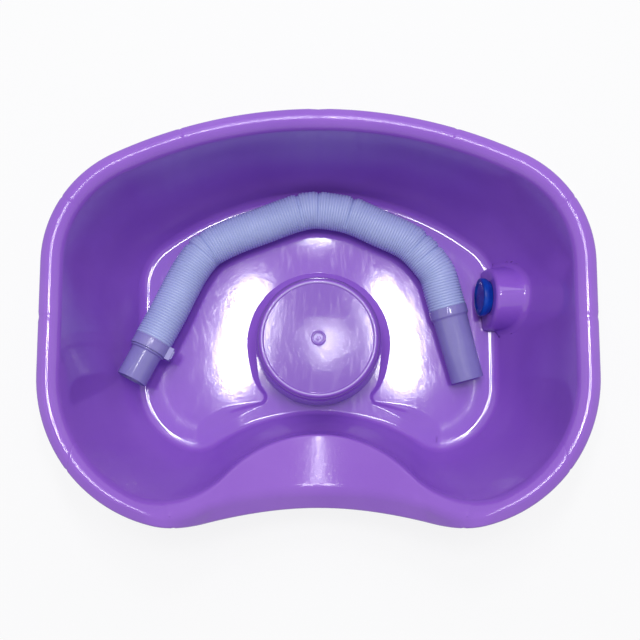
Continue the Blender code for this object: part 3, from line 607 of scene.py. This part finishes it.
# Moulded skin: cloudy colour, patchy gloss and a skin of waves, peel and rubbed streaks
COLOUR, NUMBER = "NodeSocketColor", "NodeSocketFloat"
skin, given, result = add_group(
    "moulded_skin",
    [("Colour", COLOUR), ("Deep Colour", COLOUR), ("Cloud Scale", NUMBER), ("Wave Scale", NUMBER),
     ("Peel Scale", NUMBER), ("Gloss Low", NUMBER), ("Gloss High", NUMBER), ("Streaks", NUMBER)],
    [("Colour", COLOUR), ("Roughness", NUMBER), ("Height", NUMBER)],
)
where = add_node(skin, "ShaderNodeTexCoord").outputs["Object"]
clouds = add_node(skin, "ShaderNodeTexNoise", {"Detail": 4.0, "Roughness": 0.55},
                  {"Vector": where, "Scale": given.outputs["Cloud Scale"]})
cloudy = add_node(skin, "ShaderNodeMapRange", {"From Min": 0.36, "From Max": 0.64}, {"Value": clouds.outputs["Fac"]})
tint = blend_colours(skin, cloudy.outputs[0], given.outputs["Colour"], given.outputs["Deep Colour"])
waves = add_node(skin, "ShaderNodeTexNoise", {"Detail": 2.0, "Roughness": 0.5},
                 {"Vector": where, "Scale": given.outputs["Wave Scale"]})
peel = add_node(skin, "ShaderNodeTexNoise", {"Detail": 2.0, "Roughness": 0.5},
                {"Vector": where, "Scale": given.outputs["Peel Scale"]})
bend_of_rubs = add_node(skin, "ShaderNodeTexNoise", {"Scale": 6.0, "Detail": 1.0}, {"Vector": where})
bent = add_node(skin, "ShaderNodeVectorMath", {"Scale": 0.08}, {"Vector": bend_of_rubs.outputs["Color"]},
                operation="SCALE")
swept = add_node(skin, "ShaderNodeVectorMath", None, {0: where, 1: bent.outputs[0]}, operation="ADD")
stretched = add_node(skin, "ShaderNodeMapping", {"Rotation": (0.0, 0.0, 0.6), "Scale": (260.0, 36.0, 120.0)},
                     {"Vector": swept.outputs[0]})
rubs = add_node(skin, "ShaderNodeTexNoise", {"Scale": 1.0, "Detail": 3.0, "Roughness": 0.6},
                {"Vector": stretched.outputs[0]})
rub_lines = add_node(skin, "ShaderNodeMapRange", {"From Min": 0.52, "From Max": 0.72}, {"Value": rubs.outputs["Fac"]})
rubbed = reckon(skin, "MULTIPLY", rub_lines.outputs[0], given.outputs["Streaks"])
gloss = add_node(
    skin, "ShaderNodeMapRange", {"From Min": 0.30, "From Max": 0.70},
    {"Value": waves.outputs["Fac"], "To Min": given.outputs["Gloss Low"], "To Max": given.outputs["Gloss High"]},
)
worn = reckon(skin, "MULTIPLY_ADD", rubbed, 0.22, gloss.outputs[0])
relief = reckon(skin, "ADD", waves.outputs["Fac"], reckon(skin, "MULTIPLY", peel.outputs["Fac"], 0.22))
scored = reckon(skin, "MULTIPLY_ADD", rubbed, 0.08, relief)
for made, label in ((tint, "Colour"), (worn, "Roughness"), (scored, "Height")):
    skin.links.new(made, result.inputs[label])


def moulded_plastic(name, colour, deep, values, relief_depth, constants):
    """A plastic whose skin is the moulded skin group, with the shader's own constants."""
    material = bpy.data.materials.new(name)
    material.use_nodes = True
    tree = material.node_tree
    shader = tree.nodes["Principled BSDF"]
    surface = add_node(tree, "ShaderNodeGroup", node_tree=skin)
    surface.inputs["Colour"].default_value = (*colour, 1.0)
    surface.inputs["Deep Colour"].default_value = (*deep, 1.0)
    for label, value in zip(("Cloud Scale", "Wave Scale", "Peel Scale", "Gloss Low", "Gloss High", "Streaks"), values):
        surface.inputs[label].default_value = value
    bump = add_node(tree, "ShaderNodeBump", {"Distance": relief_depth}, {"Height": surface.outputs["Height"]})
    tree.links.new(surface.outputs["Colour"], shader.inputs["Base Color"])
    tree.links.new(surface.outputs["Roughness"], shader.inputs["Roughness"])
    tree.links.new(bump.outputs[0], shader.inputs["Normal"])
    for label, value in constants.items():
        shader.inputs[label].default_value = value
    return material


violet = moulded_plastic(
    "violet_polypropylene", (0.320, 0.130, 0.640), (0.285, 0.108, 0.600),
    (7.0, 26.0, 300.0, 0.055, 0.09, 0.30), 0.00014,
    {"IOR": 1.47, "Coat Weight": 0.25, "Coat Roughness": 0.12, "Coat IOR": 1.45},
)
tree = violet.node_tree
shader = tree.nodes["Principled BSDF"]
skin_used = shader.inputs["Roughness"].links[0].from_node
spot = add_node(tree, "ShaderNodeTexCoord").outputs["Object"]
axes = add_node(tree, "ShaderNodeSeparateXYZ", None, {0: spot})


def ramp(low, high, source):
    return add_node(
        tree, "ShaderNodeMapRange", {"From Min": low, "From Max": high}, {"Value": source},
        interpolation_type="SMOOTHSTEP",
    ).outputs[0]


# The back of the rim and the neck cradle are rubbed matt by handling: heights and places in depth
# over which the wear grows to its full
RUBBED_RIM_HEIGHT = (0.165, 0.178)
RUBBED_RIM_DEPTH = (0.0, 0.09)
RUBBED_NECK_DEPTH = (-0.122, -0.134)
depth, height = axes.outputs[1], axes.outputs[2]
rubbed_rim = reckon(tree, "MULTIPLY", ramp(*RUBBED_RIM_HEIGHT, height), ramp(*RUBBED_RIM_DEPTH, depth))
handled = reckon(tree, "MULTIPLY_ADD", ramp(*RUBBED_NECK_DEPTH, depth), 0.85, rubbed_rim)
rougher = reckon(tree, "MULTIPLY_ADD", handled, 0.08, skin_used.outputs["Roughness"])

# The pedestal's top is painted a darker violet, and is less glossy and finely pitted
offset = add_node(tree, "ShaderNodeVectorMath", {1: (0.0, pedestal_place.y, PEDESTAL_TOP)}, {0: spot},
                  operation="DISTANCE")
pedestal_top_mask = ramp(0.0650, 0.0630, offset.outputs["Value"])
pedestal_top_share = reckon(tree, "MULTIPLY", pedestal_top_mask, 0.60)
worn_off = reckon(tree, "ADD", pedestal_top_share, handled, use_clamp=True)
waxed = reckon(tree, "MULTIPLY_ADD", worn_off, -0.24, 0.25)
specks = add_node(tree, "ShaderNodeTexNoise", {"Scale": 620.0, "Detail": 2.0, "Roughness": 0.6}, {"Vector": spot})
pits = reckon(tree, "MULTIPLY", specks.outputs["Fac"], reckon(tree, "MULTIPLY_ADD", pedestal_top_mask, 0.20, handled))
pitted = reckon(tree, "MULTIPLY_ADD", pits, 1.20, skin_used.outputs["Height"])
darker_top_colour = blend_colours(tree, pedestal_top_share, skin_used.outputs["Colour"], (0.215, 0.105, 0.490))

# Painted highlight and painted shade: the raised bead gets a pale ring that stands in for reflected light, and the
# crease outside it a dark ring that stands in for shade
flat_spot = add_node(tree, "ShaderNodeVectorMath", {1: (1.0, 1.0, 0.0)}, {0: spot}, operation="MULTIPLY")
spread = add_node(tree, "ShaderNodeVectorMath", {1: (0.0, pedestal_place.y, 0.0)}, {0: flat_spot.outputs[0]},
                  operation="DISTANCE")
on_top = ramp(PEDESTAL_TOP - 0.0120, PEDESTAL_TOP - 0.0080, height)
colour_with_painted_rings = darker_top_colour
for radius, full, none, strength, painted_tone in (
    # painted highlight: pale ring on the bead in place of a reflection line
    (0.0652, 0.0003, 0.0012, 0.75, (0.620, 0.520, 0.880)),
    # painted shade: dark ring in the crease outside the bead
    (0.0699, 0.0004, 0.0012, 0.65, (0.070, 0.022, 0.200)),
):
    away = reckon(tree, "ABSOLUTE", reckon(tree, "SUBTRACT", spread.outputs["Value"], radius))
    painted_ring_mask = reckon(tree, "MULTIPLY", ramp(none, full, away), on_top)
    colour_with_painted_rings = blend_colours(tree, reckon(tree, "MULTIPLY", painted_ring_mask, strength), colour_with_painted_rings, painted_tone)
for made, socket in ((colour_with_painted_rings, "Base Color"), (waxed, "Coat Weight"), (rougher, "Roughness")):
    tree.links.new(made, shader.inputs[socket])
tree.links.new(pitted, shader.inputs["Normal"].links[0].from_node.inputs["Height"])
shell.data.materials.append(violet)
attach(shell, "basin")
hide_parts("basin_shell")


# ---------------------------------------------------------------- drain plug
# A solid stopper in blue rubber with a domed, dished head for the fingers. Its short tapered stem is
# pushed into the drain's bore.

plug_profile = outline(
    (0.0, 0.0104, 0, 0), (0.0150, 0.0104, 0.0040, 4), (0.0180, 0.0116, 0.0020, 5), (0.0228, 0.0116, 0.0034, 7),
    (0.0229, 0.0062, 0.0045, 7), (0.0195, 0.0003, 0.0012, 4), (0.0182, 0.0003, 0, 0), (0.0180, -0.0002, 0, 0),
    (0.0173, -0.0075, 0.0010, 4), (0.0, -0.0075, 0, 0),
)
plug = add_object("blue_stopper", turned("blue_stopper", plug_profile, 72, 40.0))
plug.data.transform(drain_seat)
plug.data.materials.append(moulded_plastic(
    "blue_rubber", (0.0, 0.060, 0.440), (0.001, 0.026, 0.280),
    (60.0, 90.0, 900.0, 0.16, 0.26, 0.3), 0.00010, {"IOR": 1.34},
))
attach(plug, "plug")
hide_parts("drain_plug")


# ---------------------------------------------------------------- corrugated drain hose
# A milky polyethylene tube, blow moulded with 150 close ribs, lying loose round the pedestal. It has
# been bent by hand, so the ribs are creased in folds where the hose turns.

HOSE_CREST = 0.0225
HOSE_ROOT = 0.0208
HOSE_GROOVE = 0.0213
HOSE_RIBS = 150
HOSE_WALL = 0.0007
CLIP_WIDTH = 0.0135
CUFF_SLEEVE = 0.0100
HOSE_KNOTS = [Vector(knot) for knot in (
    (-0.1998, -0.0257, 0.0463), (-0.1797, 0.0149, 0.0402), (-0.1642, 0.0490, 0.0350), (-0.1538, 0.0700, 0.0325),
    (-0.1421, 0.0876, 0.0306), (-0.1296, 0.0995, 0.0292), (-0.1010, 0.1142, 0.0280), (-0.0651, 0.1277, 0.0278),
    (-0.0284, 0.1413, 0.0279), (0.0000, 0.1455, 0.0280), (0.0375, 0.1392, 0.0280), (0.0738, 0.1234, 0.0278),
    (0.1085, 0.1064, 0.0276), (0.1326, 0.0822, 0.0274), (0.1448, 0.0610, 0.0274), (0.1566, 0.0170, 0.0257),
)]

# Folds: distance along the hose, angle round it from the outer side, depth, width along the hose
HOSE_FOLDS = [
    (0.1310, 45, 0.0016, 0.0020), (0.1425, 45, 0.0022, 0.0022), (0.1475, 30, 0.0010, 0.0018),
    (0.2620, 62, 0.0026, 0.0024), (0.2840, 62, 0.0022, 0.0022), (0.3220, 55, 0.0028, 0.0026),
    (0.4115, 50, 0.0024, 0.0028), (0.4200, 40, 0.0014, 0.0022), (0.4285, 45, 0.0022, 0.0024),
]

first, *bends, last = HOSE_KNOTS
lead_in = bends[1] + (first - bends[0]).normalized() * (2 * (bends[1] - bends[0]).length)
lead_out = bends[-2] + (last - bends[-1]).normalized() * (2 * (bends[-1] - bends[-2]).length)
guides = [lead_in, *bends, lead_out]
route = [first]
for index in range(1, len(guides) - 2):
    route += [through(*guides[index - 1:index + 3], step / 12) for step in range(12)]
route += [bends[-1], last]
travelled = [0.0]
for start, end in zip(route, route[1:]):
    travelled.append(travelled[-1] + (end - start).length)
hose_length = travelled[-1]


def on_route(distance):
    """Centre point at a distance along the hose."""
    index = 0
    while index < len(route) - 2 and travelled[index + 1] < distance:
        index += 1
    share = (distance - travelled[index]) / (travelled[index + 1] - travelled[index])
    return route[index].lerp(route[index + 1], share)


def hose_frame(distance):
    """Centre, direction, outer side and upper side at a distance along the hose."""
    reach = 0.0030
    low = max(distance - reach, 0.0)
    high = min(distance + reach, hose_length)
    ahead = (on_route(high) - on_route(low)).normalized()
    outer = Vector((0.0, 0.0, 1.0)).cross(ahead).normalized()
    return on_route(distance), ahead, outer, ahead.cross(outer)


RINGS_PER_RIB = 6
HOSE_SIDES = 44
pitch = (hose_length - CLIP_WIDTH - CUFF_SLEEVE) / HOSE_RIBS
ring_places = [CLIP_WIDTH * step / 3 for step in range(3)]
ring_places += [CLIP_WIDTH + pitch * step / RINGS_PER_RIB for step in range(HOSE_RIBS * RINGS_PER_RIB + 1)]
ring_places += [hose_length - CUFF_SLEEVE * (2 - step) / 3 for step in range(3)]
hose_shape = bmesh.new()
hose_skins = []
for distance in ring_places:
    centre, ahead, outer, upper = hose_frame(distance)
    phase = (distance - CLIP_WIDTH) / pitch
    ribbed = 0.0 <= phase <= HOSE_RIBS
    ring = []
    for side in range(HOSE_SIDES):
        angle = math.tau * side / HOSE_SIDES
        radius = HOSE_ROOT
        slip = 0.0
        if ribbed:
            radius = HOSE_GROOVE + (HOSE_CREST - HOSE_GROOVE) * abs(math.sin(math.pi * phase)) ** 0.55
            for place, facing, depth, width in HOSE_FOLDS:
                away = distance - place
                if abs(away) > 0.012:
                    continue
                facing_share = max(math.cos(angle - math.radians(facing)), 0.0)
                radius -= depth * facing_share ** 0.6 * math.exp(-(away / width) ** 2)
                radius += 0.28 * depth * facing_share * math.exp(-((abs(away) - 2.6 * width) / (1.5 * width)) ** 2)
                slip -= 0.35 * away * facing_share * math.exp(-(away / (2.0 * width)) ** 2)
        spoke = outer * math.cos(angle) + upper * math.sin(angle)
        ring.append(hose_shape.verts.new(centre + spoke * radius + ahead * slip))
    hose_skins.append(ring)
for lower, higher in zip(hose_skins, hose_skins[1:]):
    for index in range(HOSE_SIDES):
        after = (index + 1) % HOSE_SIDES
        hose_shape.faces.new((lower[index], lower[after], higher[after], higher[index]))
hose = add_object("milky_hose", finish_mesh("milky_hose", hose_shape, 80.0))
wall_of_hose = hose.modifiers.new("wall", "SOLIDIFY")
wall_of_hose.thickness = HOSE_WALL
wall_of_hose.offset = -1.0

hose.data.materials.append(moulded_plastic(
    "milky_polyethylene", (0.445, 0.510, 0.785), (0.405, 0.470, 0.740),
    (18.0, 60.0, 700.0, 0.34, 0.44, 0.2), 0.00010, {"IOR": 1.50},
))
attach(hose, "hose")
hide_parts("hose_tube")


# ---------------------------------------------------------------- push-in connector
# A plain translucent tube with a thin flange, pushed into the hose's left end. Its open end fits the
# drain's bore.

CONNECTOR_BORE = 0.0156


def end_frame(tip, inner):
    """Frame at an end of the hose, with Z pointing out of it and X level."""
    out = (tip - inner).normalized()
    level = Vector((0.0, 0.0, 1.0)).cross(out).normalized()
    turn = Matrix((level, out.cross(level), out)).transposed().to_4x4()
    return Matrix.Translation(tip) @ turn


clip_end = end_frame(route[0], route[1])
cuff_end = end_frame(route[-1], route[-2])

connector_profile = outline(
    (CONNECTOR_BORE, -0.0220, 0, 0), (0.0175, -0.0220, 0.0006, 2), (0.0175, 0.0003, 0, 0),
    (0.0208, 0.0003, 0.0006, 3), (0.0208, 0.0023, 0.0008, 3), (0.0182, 0.0032, 0.0012, 3),
    (0.0182, 0.0390, 0.0006, 3), (0.0162, 0.0390, 0.0006, 3), (CONNECTOR_BORE, 0.0200, 0, 0),
    (CONNECTOR_BORE, -0.0200, 0, 0),
)
connector = add_object("milky_connector", turned("milky_connector", connector_profile, 80))
connector.data.transform(clip_end)
connector.data.materials.append(moulded_plastic(
    "milky_connector_plastic", (0.325, 0.295, 0.650), (0.295, 0.262, 0.615),
    (30.0, 70.0, 700.0, 0.07, 0.16, 0.5), 0.00012, {"IOR": 1.49, "Alpha": 0.78},
))
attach(connector, "hose")
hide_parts("hose_connector")


# ---------------------------------------------------------------- hose clip
# A snap band in the same milky plastic round the plain end of the hose, with raised edges and a
# square latch lug that holds it shut.

CLIP_INNER = 0.0211
band_profile = outline(
    (CLIP_INNER, -CLIP_WIDTH, 0, 0), (0.0226, -CLIP_WIDTH, 0.0005, 3), (0.0226, -0.0120, 0.0004, 2),
    (0.0221, -0.0116, 0.0004, 2), (0.0221, -0.0019, 0.0004, 2), (0.0226, -0.0015, 0.0004, 2),
    (0.0226, 0.0, 0.0005, 3), (CLIP_INNER, 0.0, 0, 0),
)
clip = add_object("snap_clip", turned("snap_clip", band_profile, 80))
lug_shape = bmesh.new()
for size, centre in (((0.0066, 0.0090, 0.0150), 0.0247), ((0.0018, 0.0055, 0.0100), 0.0284)):
    block = bmesh.ops.create_cube(lug_shape, size=1.0)["verts"]
    bmesh.ops.scale(lug_shape, vec=size, verts=block)
    bmesh.ops.translate(lug_shape, vec=(centre, 0.0, -CLIP_WIDTH / 2), verts=block)
bmesh.ops.bevel(lug_shape, geom=lug_shape.edges, offset=0.0004, segments=2, affect="EDGES")
lug = add_object("latch_lug", finish_mesh("latch_lug", lug_shape, 50.0))
clip_plastic = moulded_plastic(
    "milky_clip_plastic", (0.370, 0.340, 0.700), (0.335, 0.300, 0.660),
    (30.0, 80.0, 700.0, 0.16, 0.24, 0.4), 0.00010, {"IOR": 1.49, "Alpha": 0.80},
)
for part_of_clip in (clip, lug):
    part_of_clip.data.transform(clip_end)
    part_of_clip.data.materials.append(clip_plastic)
    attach(part_of_clip, "hose")
    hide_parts("hose_clip")


# ---------------------------------------------------------------- plain cuff
# A smooth translucent sleeve pushed over the hose's other end. It steps in at a shoulder and narrows
# to an open mouth that hangs over a bucket in use.

cuff_profile = outline(
    (0.0211, -0.0100, 0, 0), (0.0229, -0.0100, 0.0006, 3), (0.0229, 0.0004, 0.0010, 4),
    (0.0208, 0.0030, 0.0030, 6), (0.0196, 0.0790, 0.0006, 3), (0.0180, 0.0790, 0.0006, 3),
    (0.0182, 0.0060, 0.0010, 3), (0.0182, 0.0003, 0, 0), (0.0211, 0.0003, 0, 0),
)
cuff = add_object("milky_cuff", turned("milky_cuff", cuff_profile, 80))
cuff.data.transform(cuff_end)
cuff.data.materials.append(moulded_plastic(
    "milky_cuff_plastic", (0.325, 0.295, 0.650), (0.295, 0.262, 0.615),
    (26.0, 110.0, 260.0, 0.02, 0.05, 0.5), 0.00022, {"IOR": 1.52, "Alpha": 0.78},
))
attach(cuff, "hose")
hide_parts("hose_cuff")


# ---------------------------------------------------------------- floor, lamps and sky
# A plain pale floor that keeps the basin's shadow, under soft daylight. The panels high above show
# as reflections: two on the bowl's floor, one on the pedestal, one on the neck cradle, one at the back.

bed_shape = bmesh.new()
bmesh.ops.create_grid(bed_shape, x_segments=8, y_segments=8, size=4.0)
bmesh.ops.translate(bed_shape, vec=(0.0, 0.0, -0.0004), verts=bed_shape.verts)
bed = add_object("pale_floor", finish_mesh("pale_floor", bed_shape))
pale = bpy.data.materials.new("pale_paint")
pale.use_nodes = True
tree = pale.node_tree
tree.nodes.remove(tree.nodes["Principled BSDF"])


def seen_rays(tree):
    """1 for rays from the camera, a mirror or glass, and 0 for the light that falls on things."""
    path = add_node(tree, "ShaderNodeLightPath")
    seen = reckon(tree, "MAXIMUM", path.outputs["Is Camera Ray"], path.outputs["Is Glossy Ray"])
    return reckon(tree, "MAXIMUM", seen, path.outputs["Is Transmission Ray"])


matt = add_node(tree, "ShaderNodeBsdfDiffuse", {"Color": (0.86, 0.86, 0.88, 1.0)})
white = add_node(tree, "ShaderNodeEmission", {"Color": (1.0, 1.0, 1.0, 1.0), "Strength": 1.0})
paint = add_node(tree, "ShaderNodeMixShader", None, {
    0: reckon(tree, "MULTIPLY", seen_rays(tree), 0.85), 1: matt.outputs[0], 2: white.outputs[0],
})
tree.links.new(paint.outputs[0], tree.nodes["Material Output"].inputs["Surface"])
bed.data.materials.append(pale)

world = bpy.data.worlds.new("daylight")
world.use_nodes = True
bpy.context.scene.world = world
tree = world.node_tree
dim = tree.nodes["Background"]
dim.inputs["Color"].default_value = (0.93, 0.95, 1.0, 1.0)
dim.inputs["Strength"].default_value = 0.42
bright = add_node(tree, "ShaderNodeBackground", {"Color": (1.0, 1.0, 1.0, 1.0), "Strength": 1.0})
sky = add_node(tree, "ShaderNodeMixShader", None, {0: seen_rays(tree), 1: dim.outputs[0], 2: bright.outputs[0]})
tree.links.new(sky.outputs[0], tree.nodes["World Output"].inputs["Surface"])


LAMP_HEIGHT = 2.0


def add_panel(name, place, aim, size, energy, shape="RECTANGLE", roll=0.0):
    """A soft panel lamp over a place on the floor, facing another one."""
    data = bpy.data.lights.new(name, "AREA")
    data.shape = shape
    data.size, data.size_y = size
    data.energy = energy
    lamp = bpy.data.objects.new(name, data)
    hung = Vector((*place, LAMP_HEIGHT))
    facing = (Vector((*aim, 0.0)) - hung).to_track_quat("-Z", "Y").to_matrix().to_4x4()
    lamp.matrix_world = Matrix.Translation(hung) @ Matrix.Rotation(roll, 4, "Z") @ facing
    bpy.context.scene.collection.objects.link(lamp)


add_panel("left_panel", (-0.2500, 0.210), (-0.2500, 0.210), (0.150, 0.410), 7.6, "ELLIPSE", -0.21)
add_panel("right_panel", (0.2500, 0.210), (0.2500, 0.210), (0.150, 0.410), 7.6, "ELLIPSE", 0.21)
add_panel("back_fill", (0.0, 1.200), (0.0, 0.0), (1.400, 0.800), 5.5)
add_panel("small_lamp", (0.0240, 0.178), (0.0, 0.0), (0.030, 0.030), 0.60)
add_panel("far_lamp", (0.0, 0.690), (0.0, 0.0), (0.070, 0.300), 5.0)
